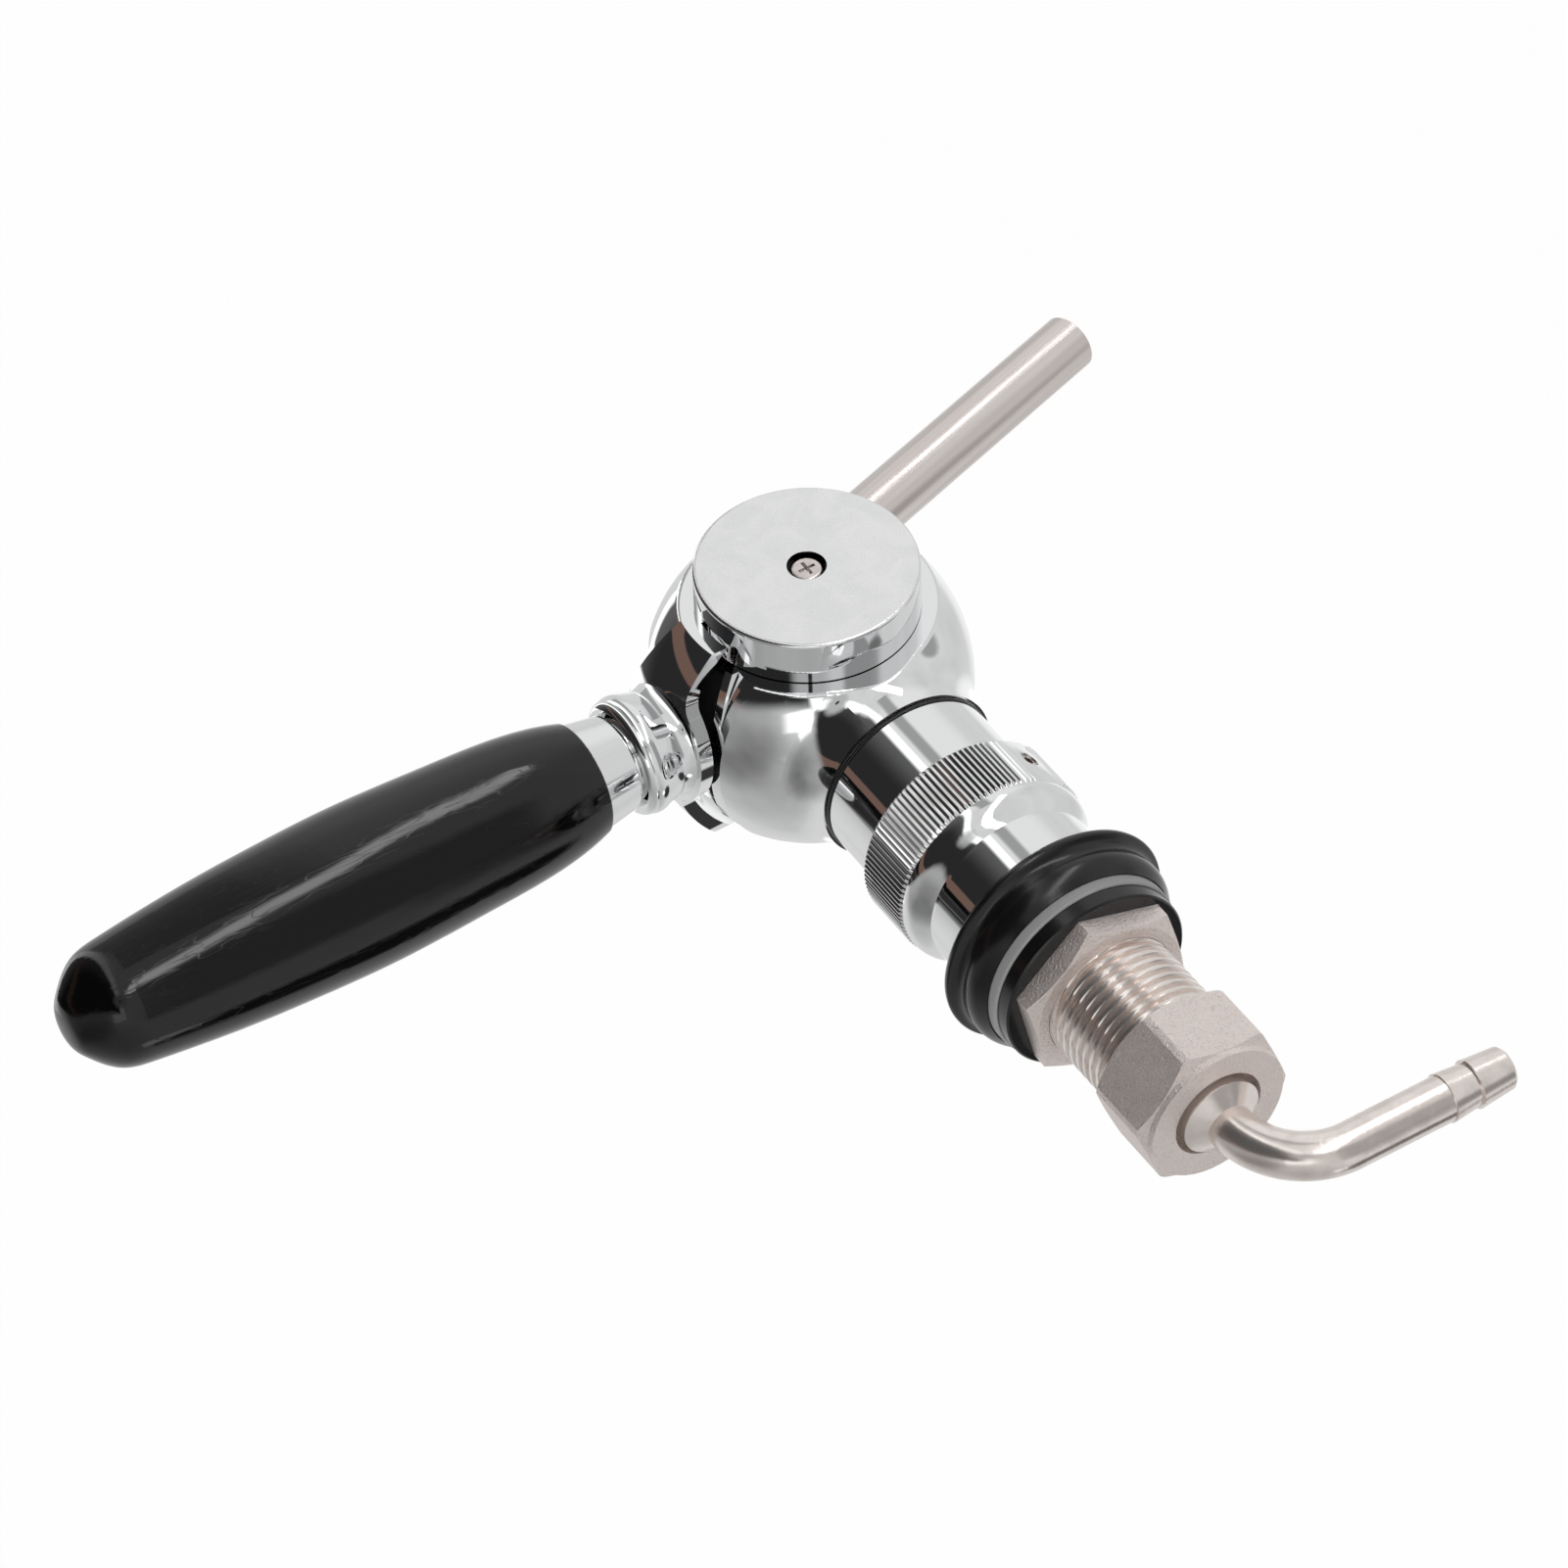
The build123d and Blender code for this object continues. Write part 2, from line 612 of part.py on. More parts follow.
with BuildPart() as handle_grip:
    with BuildSketch(lever_section):
        with BuildLine():
            Line((core_r + fixed_gap, grip_start + fixed_gap), (grip_rim_r - 0.3, grip_start + fixed_gap))
            Line((grip_rim_r - 0.3, grip_start + fixed_gap), (grip_rim_r, grip_start + 0.3))
            Spline(
                (grip_rim_r, grip_start + 0.3),
                (0.88 * grip_shoulder_r + 0.12 * grip_rim_r - 0.95, grip_start + 0.044 * grip_length),
                (grip_shoulder_r, grip_start + 0.128 * grip_length),
                ((grip_shoulder_r + grip_max_r) / 2, grip_start + 0.243 * grip_length),
                (grip_max_r, grip_start + 0.442 * grip_length),
                (0.85 * grip_max_r + 0.15 * grip_taper_r, grip_start + 0.568 * grip_length),
                (0.575 * grip_max_r + 0.425 * grip_taper_r, grip_start + 0.683 * grip_length),
                (grip_taper_r, grip_start + 0.82 * grip_length),
                (grip_nose_r, grip_start + 0.893 * grip_length),
            )
            Spline(
                (grip_nose_r, grip_start + 0.893 * grip_length),
                (0.9 * grip_nose_r, grip_start + 0.935 * grip_length),
                (0.56 * grip_nose_r, grip_start + 0.979 * grip_length),
                (0, grip_end),
                tangents=((-0.14, 1), (-1, 0)),
            )
            Line((0, grip_end), (0, core_end + 0.5))
            Line((0, core_end + 0.5), (core_r + fixed_gap, core_end + 0.5))
            Line((core_r + fixed_gap, core_end + 0.5), (core_r + fixed_gap, grip_start + fixed_gap))
        make_face()
    revolve(axis=lever_axis)
handle_grip.part.label = "handle_grip"
export_step(handle_grip.part, "parts/handle_grip.step")

# Spout tube and its seal
with BuildPart() as spout_tube:
    with BuildSketch(spout_plane.offset(spout_top)):
        Circle(spout_r)
        Circle(spout_r - spout_wall, mode=Mode.SUBTRACT)
    extrude(amount=spout_end - spout_top)
    chamfer(spout_tube.edges().filter_by(GeomType.CIRCLE).group_by(Axis(spout_foot, spout_dir))[-1], 0.2)
spout_tube.part.label = "spout_tube"
export_step(spout_tube.part, "parts/spout_tube.step")

with BuildPart() as spout_o_ring:
    with Locations(spout_plane.offset(spout_seal_at)):
        Torus(spout_r + spout_seal_section / 2, spout_seal_section / 2 - spout_gap)
spout_o_ring.part.label = "spout_o_ring"
export_step(spout_o_ring.part, "parts/spout_o_ring.step")

# Seam seal between the ball's neck and the sleeve
with BuildPart() as seam_o_ring:
    with BuildSketch(Plane.XZ.offset(seam_back)):
        Circle(neck_r - 0.05)
        Circle(insert_r + fixed_gap, mode=Mode.SUBTRACT)
    extrude(amount=seam_seal)
    fillet(seam_o_ring.edges().filter_by(GeomType.CIRCLE).filter_by(lambda e: e.radius > neck_r - 0.1), radius=0.3)
seam_o_ring.part.label = "seam_o_ring"
export_step(seam_o_ring.part, "parts/seam_o_ring.step")

# Sleeve: one collar outside, a tapered seat inside, a slot for the cam pin
with BuildPart() as collar_sleeve:
    with BuildSketch(Plane.XY):
        Polygon(
            (throat_r, -sleeve_back),
            (sleeve_r, -sleeve_back),
            (sleeve_r, -ring_front - side_gap),
            (collar_r, -ring_front - side_gap),
            (collar_r, -seam_back),
            (insert_r, -seam_back),
            (insert_r, -neck_face - socket_depth + 0.2),
            (seat_taper_r, -neck_face - socket_depth + 0.2),
            (seat_taper_r, -seat_taper_end),
            (throat_r, -seat_taper_start),
            align=None,
        )
    revolve(axis=Axis.Y)
    chamfer(
        collar_sleeve.edges().filter_by(GeomType.CIRCLE).filter_by(lambda e: abs(e.radius - collar_r) < 0.01), 0.2
    )
    with BuildSketch(pin_plane):
        SlotCenterToCenter(2 * cone_travel, 2 * (pin_r + pin_clearance))
    extrude(amount=sleeve_r + 1, mode=Mode.SUBTRACT)
collar_sleeve.part.label = "collar_sleeve"
export_step(collar_sleeve.part, "parts/collar_sleeve.step")

# Knurled flow ring with a smooth pad round its set screw
with BuildPart() as flow_ring:
    with BuildSketch(Plane.XZ.offset(ring_back)):
        with BuildLine():
            Polyline(*knurl_points, close=True)
        make_face()
    extrude(amount=ring_front - ring_back)
    with BuildSketch(Plane.XY):
        for end, inward in ((-ring_front, 1), (-ring_back, -1)):
            with BuildLine():
                Polyline(
                    (knurl_r - 0.5, end),
                    (knurl_r + 1, end),
                    (knurl_r + 1, end + inward * 1.5),
                    close=True,
                )
            make_face()
    revolve(axis=Axis.Y, mode=Mode.SUBTRACT)
    with BuildSketch(Plane.XZ.offset(ring_back)):
        Circle(sleeve_r + running_gap)
    extrude(amount=ring_front - ring_back, mode=Mode.SUBTRACT)
    with BuildSketch(Plane.XZ.offset(ring_back + relief_lip)):
        Circle(relief_r)
    extrude(amount=ring_front - ring_back - 2 * relief_lip, mode=Mode.SUBTRACT)
    with BuildSketch(grub_plane):
        Circle(grub_r + fixed_gap)
    extrude(amount=2 * knurl_r, mode=Mode.SUBTRACT)
flow_ring.part.label = "flow_ring"
export_step(flow_ring.part, "parts/flow_ring.step")

with BuildPart() as flow_ring_screw:
    with BuildSketch(grub_plane.offset(grub_top - grub_length)):
        Circle(grub_r)
    extrude(amount=grub_length)
    with BuildSketch(grub_plane.offset(grub_top - 1.2)):
        RegularPolygon(grub_socket / 2, 6, major_radius=False)
    extrude(amount=2, mode=Mode.SUBTRACT)
flow_ring_screw.part.label = "flow_ring_screw"
export_step(flow_ring_screw.part, "parts/flow_ring_screw.step")

# Compensator: tapered cone, its guide ring and the pin that the flow ring drives
with BuildPart() as compensator_cone:
    with BuildSketch(Plane.XY):
        Polygon(
            (0, -cone_back),
            (cone_big_r, -cone_back),
            (cone_big_r, -cone_shoulder),
            (cone_nose_r, -cone_front),
            (0, -cone_front),
            align=None,
        )
    revolve(axis=Axis.Y)
    with BuildSketch(Plane.XY):
        with Locations((cone_big_r, -cone_ring_at)):
            Rectangle(cone_ring_section, cone_ring_section + 0.2)
    revolve(axis=Axis.Y, mode=Mode.SUBTRACT)
    with BuildSketch(pin_plane):
        Circle(pin_r + fixed_gap)
    extrude(amount=throat_r, mode=Mode.SUBTRACT)
compensator_cone.part.label = "compensator_cone"
export_step(compensator_cone.part, "parts/compensator_cone.step")

with BuildPart() as cone_ring:
    with Locations(Plane.XZ.offset(cone_ring_at)):
        Torus(throat_r - running_gap - cone_ring_section / 2, cone_ring_section / 2)
cone_ring.part.label = "cone_ring"
export_step(cone_ring.part, "parts/cone_ring.step")

with BuildPart() as cam_pin:
    with BuildSketch(pin_plane.offset(0.5)):
        Circle(pin_r)
    extrude(amount=pin_tip - 0.5)
cam_pin.part.label = "cam_pin"
export_step(cam_pin.part, "parts/cam_pin.step")

# Collar that ties the shank to the sleeve, with a rounded lip behind the ring
with BuildPart() as outlet_collar:
    with BuildSketch(Plane.XY):
        with BuildLine():
            Line((sleeve_r + socket_gap, -ring_back + side_gap), (lip_r, -ring_back + side_gap))
            Spline((lip_r, -ring_back + side_gap), (16.95, -lip_round_at), (16.1, -20.5), (15.25, -lip_end))
            Line((15.25, -lip_end), (collar_r, -lip_end + 0.6))
            Line((collar_r, -lip_end + 0.6), (collar_r, -flange_front))
            Line((collar_r, -flange_front), (thread_r + thread_gap, -flange_front))
            Line((thread_r + thread_gap, -flange_front), (thread_r + thread_gap, -sleeve_back))
            Line((thread_r + thread_gap, -sleeve_back), (sleeve_r + socket_gap, -sleeve_back))
            Line((sleeve_r + socket_gap, -sleeve_back), (sleeve_r + socket_gap, -ring_back + side_gap))
        make_face()
    revolve(axis=Axis.Y)
outlet_collar.part.label = "outlet_collar"
export_step(outlet_collar.part, "parts/outlet_collar.step")

with BuildPart() as shank_tube:
    with BuildSketch(Plane.XZ.offset(sleeve_back)):
        Circle(thread_r)
        Circle(shank_bore_r, mode=Mode.SUBTRACT)
    extrude(amount=-sleeve_back - shank_end)
    chamfer(shank_tube.edges().group_by(Axis.Y)[-1].sort_by(SortBy.RADIUS)[-1], 0.6)
shank_tube.part.label = "shank_tube"
export_step(shank_tube.part, "parts/shank_tube.step")

# Rubber wall flange, domed to the wall side
with BuildPart() as wall_flange:
    with BuildSketch(Plane.XY):
        with BuildLine():
            Line((thread_r + hole_clearance, -flange_front), (collar_r + 1.5, -flange_front))
            ThreePointArc((collar_r + 1.5, -flange_front), (flange_r - 1.2, -flange_front + 0.6), (flange_r, -flange_rim_at - 0.6))
            Line((flange_r, -flange_rim_at - 0.6), (flange_r, -flange_rim_at))
            Spline((flange_r, -flange_rim_at), (19.75, -4.5), (18.8, -1.9), (17.7, -0.4))
            Line((17.7, -0.4), (17.3, 0))
            Line((17.3, 0), (thread_r + hole_clearance, 0))
            Line((thread_r + hole_clearance, 0), (thread_r + hole_clearance, -flange_front))
        make_face()
    revolve(axis=Axis.Y)
wall_flange.part.label = "wall_flange"
export_step(wall_flange.part, "parts/wall_flange.step")

with BuildPart() as grey_washer:
    with BuildSketch(Plane.XZ):
        Circle(grey_washer_r)
        Circle(thread_r + hole_clearance, mode=Mode.SUBTRACT)
    extrude(amount=-grey_washer_thick)
    fillet(grey_washer.edges().group_by(Axis.Y)[-1].sort_by(SortBy.RADIUS)[-1], radius=0.4)
grey_washer.part.label = "grey_washer"
export_step(grey_washer.part, "parts/grey_washer.step")

with BuildPart() as black_gasket:
    with BuildSketch(Plane.XZ.offset(-grey_washer_thick)):
        Circle(gasket_r)
        Circle(thread_r + hole_clearance, mode=Mode.SUBTRACT)
    extrude(amount=-gasket_thick)
    chamfer(black_gasket.edges().group_by(Axis.Y)[-1].sort_by(SortBy.RADIUS)[-1], 0.3)
black_gasket.part.label = "black_gasket"
export_step(black_gasket.part, "parts/black_gasket.step")

# Thin lock nut, its corners chamfered away from the wall
with BuildPart() as lock_nut:
    with BuildSketch(Plane.XZ.offset(-lock_seat)):
        add(hexagon(Plane.XY, lock_flats, lock_corner))
        Circle(thread_r + thread_gap, mode=Mode.SUBTRACT)
    extrude(amount=-lock_thick)
    with BuildSketch(Plane.XY):
        Polygon(
            (0, lock_seat),
            (lock_flats / 2 + 3, lock_seat),
            (lock_flats / 2 + 3, lock_seat + lock_thick - 1.8),
            (lock_flats / 2 - 0.2, lock_seat + lock_thick),
            (0, lock_seat + lock_thick),
            align=None,
        )
    revolve(axis=Axis.Y, mode=Mode.INTERSECT)
lock_nut.part.label = "lock_nut"
export_step(lock_nut.part, "parts/lock_nut.step")

# Coupling nut that holds the tailpiece
with BuildPart() as coupling_nut:
    with BuildSketch(Plane.XZ.offset(-coupling_front)):
        add(hexagon(Plane.XY, coupling_flats, coupling_corner))
    extrude(amount=coupling_front - coupling_back)
    with BuildSketch(Plane.XY):
        Polygon(
            (0, coupling_front),
            (12.0, coupling_front),
            (coupling_corner_r, coupling_front + 1.4),
            (coupling_corner_r, coupling_back - 1.9),
            (12.4, coupling_back - 1.0),
            (12.2, coupling_back),
            (0, coupling_back),
            align=None,
        )
    revolve(axis=Axis.Y, mode=Mode.INTERSECT)
    with BuildSketch(Plane.XZ.offset(-coupling_front)):
        Circle(thread_r + thread_gap)
    extrude(amount=coupling_front - tail_seat, mode=Mode.SUBTRACT)
    with BuildSketch(Plane.XZ.offset(-coupling_front)):
        Circle(coupling_hole_r)
    extrude(amount=coupling_front - coupling_back, mode=Mode.SUBTRACT)
coupling_nut.part.label = "coupling_nut"
export_step(coupling_nut.part, "parts/coupling_nut.step")

with BuildPart() as tail_gasket:
    with BuildSketch(Plane.XZ.offset(-shank_end)):
        Circle(tail_gasket_r)
        Circle(tail_bore_r + 0.6, mode=Mode.SUBTRACT)
    extrude(amount=-tail_gasket_thick)
tail_gasket.part.label = "tail_gasket"
export_step(tail_gasket.part, "parts/tail_gasket.step")

# Tailpiece: flange inside the nut, collar, bent tube and hose barbs
tail_end = Vector(0, tail_leg_y, -tail_bend_r)
with BuildLine() as tail_path:
    Line((0, tail_collar_end, 0), (0, tail_leg_y - tail_bend_r, 0))
    ThreePointArc(
        (0, tail_leg_y - tail_bend_r, 0),
        (0, tail_leg_y - tail_bend_r * (1 - sin(radians(45))), -tail_bend_r * (1 - cos(radians(45)))),
        tail_end,
    )
    Line(tail_end, tail_end - (0, 0, barb_first - tail_bend_r))

with BuildPart() as tailpiece:
    with BuildSketch(Plane.XY):
        Polygon(
            (0, tail_seat - tail_flange_thick),
            (tail_flange_r, tail_seat - tail_flange_thick),
            (tail_flange_r, tail_seat),
            (tail_collar_r, tail_seat),
            (tail_collar_r, tail_collar_end),
            (tail_tube_r, tail_collar_end + 2),
            (0, tail_collar_end + 2),
            align=None,
        )
    revolve(axis=Axis.Y)
    with BuildSketch(Plane.XZ.offset(-tail_collar_end)):
        Circle(tail_tube_r)
    sweep(path=tail_path.line)
    with BuildSketch(Plane(tail_end - (0, 0, tail_drop - tail_bend_r), x_dir=(1, 0, 0), z_dir=(0, -1, 0))):
        Polygon(
            (0, tail_drop - barb_first),
            (tail_tube_r + barb_rise, tail_drop - barb_first),
            (tail_tube_r - barb_rise, tail_drop - barb_second),
            (tail_tube_r + barb_rise, tail_drop - barb_second),
            (tail_tube_r - barb_rise, 0.5),
            (tail_tube_r - barb_rise - 0.4, 0),
            (0, 0),
            align=None,
        )
    revolve(axis=Axis(tail_end, (0, 0, 1)))
    with BuildSketch(Plane.XZ.offset(-tail_collar_end)):
        Circle(tail_bore_r)
    sweep(path=tail_path.line, mode=Mode.SUBTRACT)
    with BuildSketch(Plane.XZ.offset(-tail_seat + tail_flange_thick)):
        Circle(tail_bore_r)
    extrude(amount=-(tail_collar_end - tail_seat + tail_flange_thick + 1), mode=Mode.SUBTRACT)
    with BuildSketch(Plane(tail_end - (0, 0, tail_drop - tail_bend_r))):
        Circle(tail_bore_r)
    extrude(amount=tail_drop - tail_bend_r, mode=Mode.SUBTRACT)
tailpiece.part.label = "tailpiece"
export_step(tailpiece.part, "parts/tailpiece.step")
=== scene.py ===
import json
from math import cos, pi, radians, sin, tau
import bpy
import bmesh
from mathutils import Matrix, Vector


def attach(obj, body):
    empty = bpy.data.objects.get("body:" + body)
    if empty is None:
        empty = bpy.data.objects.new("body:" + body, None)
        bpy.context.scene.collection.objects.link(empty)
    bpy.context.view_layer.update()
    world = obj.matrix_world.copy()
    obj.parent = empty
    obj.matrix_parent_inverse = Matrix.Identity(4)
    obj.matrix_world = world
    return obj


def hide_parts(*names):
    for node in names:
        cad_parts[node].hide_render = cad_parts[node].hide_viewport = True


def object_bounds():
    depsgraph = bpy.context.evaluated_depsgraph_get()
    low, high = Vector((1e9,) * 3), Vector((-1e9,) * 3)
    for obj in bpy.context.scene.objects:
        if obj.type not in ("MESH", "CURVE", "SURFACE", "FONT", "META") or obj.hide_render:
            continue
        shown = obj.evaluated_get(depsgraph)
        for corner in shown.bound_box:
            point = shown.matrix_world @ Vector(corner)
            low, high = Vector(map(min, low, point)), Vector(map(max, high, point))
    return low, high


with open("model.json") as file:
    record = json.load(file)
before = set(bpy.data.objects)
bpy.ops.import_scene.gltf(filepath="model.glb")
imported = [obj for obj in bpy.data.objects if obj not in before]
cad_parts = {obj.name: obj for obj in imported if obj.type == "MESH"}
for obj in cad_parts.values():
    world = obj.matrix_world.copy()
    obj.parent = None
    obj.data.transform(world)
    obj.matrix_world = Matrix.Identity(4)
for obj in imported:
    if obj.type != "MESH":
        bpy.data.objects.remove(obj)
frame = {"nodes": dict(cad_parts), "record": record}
cad_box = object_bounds()
nodes = frame["nodes"]

MM = 0.001
PIVOT = Vector((0, -76.5, 1.0)) * MM
SPOUT_LEAN = radians(18)
CREASE = radians(32)      # edges that turn more than this stay sharp

# Side caps: their outside faces along X, and the screw seat in the middle of each
CAP_FACES = (-25.3 * MM, 20.2 * MM)
FACE_SKIN = 0.15 * MM
SCREW_SEAT_R = 3.35 * MM
# Depth inside a cap face from which the screw recess is painted near black, as painted shade
SEAT_SHADE_FROM = 0.25 * MM

# Shank thread
THREAD_R = 11.455 * MM
THREAD_DEPTH = 1.05 * MM
THREAD_PITCH = 1.814 * MM
SHANK_BORE_R = 6.6 * MM
SHANK_FRONT = -14.0 * MM
SHANK_END = 30.6 * MM
THREAD_FROM = -9.0 * MM
THREAD_AROUND = 144
THREAD_ROWS = 270

# Knurled ring: its section runs from the bore over the knurl and back through the inner relief
KNURL_COUNT = 110
KNURL_STEPS = 8
KNURL_DEPTH = 0.42 * MM
PAD_ANGLE = radians(-141)
PAD_SPAN = radians(22)
PAD_EDGE = (0.47 * PAD_SPAN, 0.5 * PAD_SPAN)
GRUB_AT = -30.2 * MM
GRUB_HOLE_R = 1.63 * MM
DRILL_CENTRE_R = 16.0 * MM
DRILL_DEPTH = 6.0 * MM
DRILL_SIDES = 48
RING_SECTION = [(radius * MM, where * MM) for radius, where in (
    (13.46, -24.2), (17.1, -24.2), (17.6, -24.7), (17.6, -34.7), (17.1, -35.2),
    (13.46, -35.2), (13.46, -34.3), (15.0, -34.3), (15.0, -25.1), (13.46, -25.1))]

SEAM_SHARE = 0.975        # of the seam ring's free radius, once it is squeezed

# Flange's section, from its collar side over the lip and the bead to the wall side
FLANGE_SIDES = 160
FLANGE_SECTION = [(radius * MM, where * MM) for radius, where in (
    (11.805, -9.2), (16.78, -9.2), (17.6, -9.08), (18.4, -8.86), (19.05, -8.58), (19.7, -8.15),
    (20.1, -7.7), (20.24, -7.3), (20.24, -6.95), (20.05, -6.65), (19.7, -6.5), (19.25, -6.3),
    (18.85, -5.9), (18.6, -5.35), (18.52, -4.8), (18.62, -4.2), (18.78, -3.6), (18.82, -3.0),
    (18.72, -2.4), (18.48, -1.75), (18.1, -1.1), (17.65, -0.5), (17.3, 0.0), (11.805, 0.0))]

# Camera, where the photograph was taken from
CAMERA_SPOT = (-0.85807, 0.65642, 0.44956)
CAMERA_RIGHT = (0.02304, 0.53724, -0.84311)
CAMERA_UP = (-0.69714, -0.59583, -0.39873)
CAMERA_BACK = (-0.71657, 0.59695, 0.36080)
CAMERA_LENS = 171.549
CAMERA_SENSOR = 36
CAMERA_REACH = 20
CAMERA_WAY = (-0.717, 0.597, 0.361)      # from the tap towards the camera

# Tent: grey patches, each with its direction, the angles in degrees where it starts and ends to fade, and
# its level. The room's patches lie over the doorway.
TENT_PATCHES = (
    ((0.55, -0.58, -0.60), 6, 26, 0.98),
    ((-0.717, -0.597, -0.361), 14, 34, 0.88),
    ((0.74, -0.52, -0.42), 4, 14, 1.2),
)
ROOM_PATCHES = (
    (CAMERA_WAY, 6, 16, 0.52),
    (CAMERA_WAY, 1.3, 2.0, 0.02),
    ((0.71, 0.62, -0.33), 9, 15, 0.04),
    ((0.70, 0.71, -0.08), 4, 6, 1.3),
    ((0.08, 0.78, -0.62), 6, 20, 0.20),
    ((-0.12, 0.30, -0.95), 4, 12, 0.36),
)
BAND_LEVEL = 1.35
UNDER_LEVEL = 0.34
LOW_LEVEL = 0.38
LAMP_COLOUR = (5.0, 4.9, 5.0)
DOORWAY_FOOT = (0.12, 0.12, 0.122)
DOORWAY_HEAD = (0.024, 0.024, 0.025)
POST_COLOUR = (0.17, 0.105, 0.085)

# Floor
FLOOR_BELOW = 0.02
FLOOR_REACH = 3.0
FLOOR_GLOW = 1.04
FLOOR_WHITE = 0.93        # the rest of the floor's light carries the object's shadow

CHROME = (0.83, 0.835, 0.84)


# Shader and geometry maths

class Wire:
    """A node's output, with Python's operators adding the Math nodes."""

    def __init__(self, tree, socket):
        self.tree = tree
        self.socket = socket

    def maths(self, operation, *others):
        return add_node(self.tree, "ShaderNodeMath", [self, *others], operation=operation)

    def __add__(self, other):
        return self.maths("ADD", other)

    def __mul__(self, other):
        return self.maths("MULTIPLY", other)

    def __sub__(self, other):
        return self.maths("SUBTRACT", other)

    def __truediv__(self, other):
        return self.maths("DIVIDE", other)

    def __mod__(self, other):
        return self.maths("FLOORED_MODULO", other)

    def __gt__(self, other):
        return self.maths("GREATER_THAN", other)

    def __lt__(self, other):
        return self.maths("LESS_THAN", other)

    def __abs__(self):
        return self.maths("ABSOLUTE")

    def __rsub__(self, other):
        return add_node(self.tree, "ShaderNodeMath", [other, self], operation="SUBTRACT")

    __radd__ = __add__
    __rmul__ = __mul__

    def ramp(self, low, high):
        """0 at low and before it, 1 at high and beyond, smooth between."""
        sockets = {"Value": self, "From Min": low, "From Max": high}
        return add_node(self.tree, "ShaderNodeMapRange", sockets, interpolation_type="SMOOTHSTEP")

    def between(self, start, end, soft):
        """1 between start and end, with soft edges."""
        return self.ramp(start - soft, start + soft) * (1.0 - self.ramp(end - soft, end + soft))

    def parts(self):
        node = self.tree.nodes.new("ShaderNodeSeparateXYZ")
        self.tree.links.new(self.socket, node.inputs[0])
        return [Wire(self.tree, node.outputs[i]) for i in range(3)]


def add_node(tree, kind, sockets=(), out=0, **settings):
    """One node: its settings first, then the values or links of its sockets, by name or in order."""
    node = tree.nodes.new(kind)
    for name, value in settings.items():
        setattr(node, name, value)
    pairs = sockets.items() if isinstance(sockets, dict) else enumerate(sockets)
    for name, value in pairs:
        if isinstance(value, Wire):
            tree.links.new(value.socket, node.inputs[name])
        elif value is not None:
            node.inputs[name].default_value = value
    return Wire(tree, node.outputs[out])


def mix_colour(factor, low, high):
    """Low where the factor is 0, high where it is 1. The colours are a Mix node's sockets 6 and 7."""
    tree = next(w.tree for w in (factor, low, high) if isinstance(w, Wire))
    node = tree.nodes.new("ShaderNodeMix")
    node.data_type = "RGBA"
    for name, value in ((0, factor), (6, low), (7, high)):
        if isinstance(value, Wire):
            tree.links.new(value.socket, node.inputs[name])
        else:
            node.inputs[name].default_value = value if name == 0 else (*value, 1)
    return Wire(tree, node.outputs[2])


def dot_with(spot, axis):
    return add_node(spot.tree, "ShaderNodeVectorMath", [spot, tuple(axis)], out=1,
                    operation="DOT_PRODUCT")


def grey(level):
    return level, level, level


class Finish:
    """A material whose surface shader's sockets are set by name."""

    def __init__(self, name, **sockets):
        self.material = bpy.data.materials.new(name)
        self.material.use_nodes = True
        self.tree = self.material.node_tree
        self.shader = self.tree.nodes["Principled BSDF"]
        self.set(**sockets)

    def set(self, **sockets):
        for name, value in sockets.items():
            socket = self.shader.inputs[name.replace("_", " ")]
            if isinstance(value, Wire):
                self.tree.links.new(value.socket, socket)
            elif isinstance(value, tuple):
                socket.default_value = (*value, 1)
            else:
                socket.default_value = value

    def place(self, centre=(0, 0, 0), turn=(0, 0, 0), stretch=(1, 1, 1)):
        """Object coordinates in metres, moved to a centre, turned and stretched."""
        spot = add_node(self.tree, "ShaderNodeTexCoord", out=3)
        moved = add_node(self.tree, "ShaderNodeVectorMath", [spot, tuple(centre)], operation="SUBTRACT")
        turned = add_node(self.tree, "ShaderNodeVectorRotate", {"Vector": moved, "Rotation": turn},
                          rotation_type="EULER_XYZ")
        return add_node(self.tree, "ShaderNodeVectorMath", [turned, tuple(stretch)], operation="MULTIPLY")

    def noise(self, spot, scale, detail=2.0, rough=0.5, warp=0.0):
        return add_node(self.tree, "ShaderNodeTexNoise", {
            "Vector": spot, "Scale": scale, "Detail": detail, "Roughness": rough, "Distortion": warp})

    def scratches(self, spot, scale, width=0.03):
        """Thin lines where a warped noise crosses its middle."""
        lines = abs(self.noise(spot, scale, 1, 0.5, 0.4) - 0.5)
        return 1.0 - lines.ramp(0.0, width)

    def relief(self, height, strength, distance):
        normal = add_node(self.tree, "ShaderNodeBump",
                          {"Height": height, "Strength": strength, "Distance": distance})
        self.set(Normal=normal)


def new_object(name, data):
    made = bpy.data.objects.new(name, data)
    bpy.context.collection.objects.link(made)
    return made


# Metals

def polished_chrome():
    chrome = Finish("polished chrome", Base_Color=CHROME, Metallic=1.0)
    spot = chrome.place()
    haze = chrome.noise(spot, 70, 3).ramp(0.40, 0.80)
    fine = chrome.noise(spot, 1400, 2)
    wear = chrome.scratches(chrome.place(stretch=(1, 3, 1)), 160, 0.012)
    chrome.set(Roughness=haze * 0.04 + fine * 0.02 + wear * 0.04 + 0.02)
    wave = chrome.noise(spot, 55, 1) * 0.7 + chrome.noise(spot, 260, 2) * 0.06
    chrome.relief(wave, 0.12, 0.0004)
    return chrome.material


